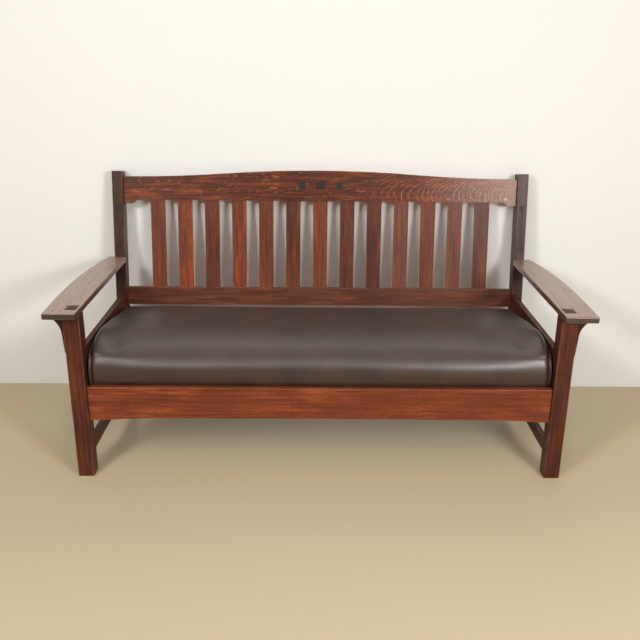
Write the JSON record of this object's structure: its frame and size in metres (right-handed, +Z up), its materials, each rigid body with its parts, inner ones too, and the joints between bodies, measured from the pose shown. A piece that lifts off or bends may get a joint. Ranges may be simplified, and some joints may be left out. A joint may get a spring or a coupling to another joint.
{
  "type": "mission settle",
  "caption": "Long oak settle with a raked slat back, serpentine crest rail, flat arms on corbels and a lift-out leather seat.",
  "frame": {"origin": "on the floor, under the middle of the overall width and depth", "axes": "+X is to the right as seen from the front, +Y is to the back, away from the person who looks at the front, and +Z is up"},
  "size_m": [1.894, 0.848, 1.0041],
  "materials": {
    "oak": "quarter-sawn white oak, reddish-brown stain, satin lacquer with flake figure",
    "dark_inlay": "ebonised hardwood plugs and stringing, satin",
    "frame_wood": "unfinished maple and birch inner frame, cleats and dowels",
    "leather": "dark chocolate upholstery leather, semi-gloss, fine pebbled grain",
    "padding": "seat padding with its dark chocolate leather cover; weighed as padding",
    "webbing": "woven jute webbing",
    "cover_cloth": "black cambric dust cover",
    "screw_steel": "plain round-head wood screws"
  },
  "bodies": {
    "frame": {"arm_dowels": "frame_wood", "arm_left": "oak", "arm_right": "oak", "corbel_left": "oak", "corbel_right": "oak", "crest_plug_centre": "dark_inlay", "crest_plug_left": "dark_inlay", "crest_plug_right": "dark_inlay", "crest_rail": "oak", "front_cleat": "frame_wood", "front_cleat_screws": "screw_steel", "front_post_left": "oak", "front_post_right": "oak", "front_rail": "oak", "lower_back_rail": "oak", "post_plug_lower_left": "dark_inlay", "post_plug_lower_right": "dark_inlay", "post_plug_upper_left": "dark_inlay", "post_plug_upper_right": "dark_inlay", "rear_cleat": "frame_wood", "rear_cleat_screws": "screw_steel", "rear_post_left": "oak", "rear_post_right": "oak", "rear_rail": "oak", "side_rail_left": "oak", "side_rail_right": "oak", "slat_01": "oak", "slat_02": "oak", "slat_03": "oak", "slat_04": "oak", "slat_05": "oak", "slat_06": "oak", "slat_07": "oak", "slat_08": "oak", "slat_09": "oak", "slat_10": "oak", "slat_11": "oak", "slat_12": "oak", "slat_13": "oak", "stretcher_left": "oak", "stretcher_right": "oak", "stringing_left": "dark_inlay", "stringing_right": "dark_inlay"},
    "seat": {"corner_block_front_left": "frame_wood", "corner_block_front_right": "frame_wood", "corner_block_rear_left": "frame_wood", "corner_block_rear_right": "frame_wood", "cross_webbing": "webbing", "cushion_welts": "leather", "dust_cover": "cover_cloth", "long_webbing": "webbing", "seat_cushion": "padding", "seat_frame_brace_left": "frame_wood", "seat_frame_brace_right": "frame_wood", "seat_frame_end_left": "frame_wood", "seat_frame_end_right": "frame_wood", "seat_frame_front": "frame_wood", "seat_frame_rear": "frame_wood"}
  },
  "joints": [
    {"name": "seat_lift", "type": "slide", "parent": "frame", "child": "seat", "axis": [0, 0, 1], "range_m": [0, 0.35]}
  ]
}
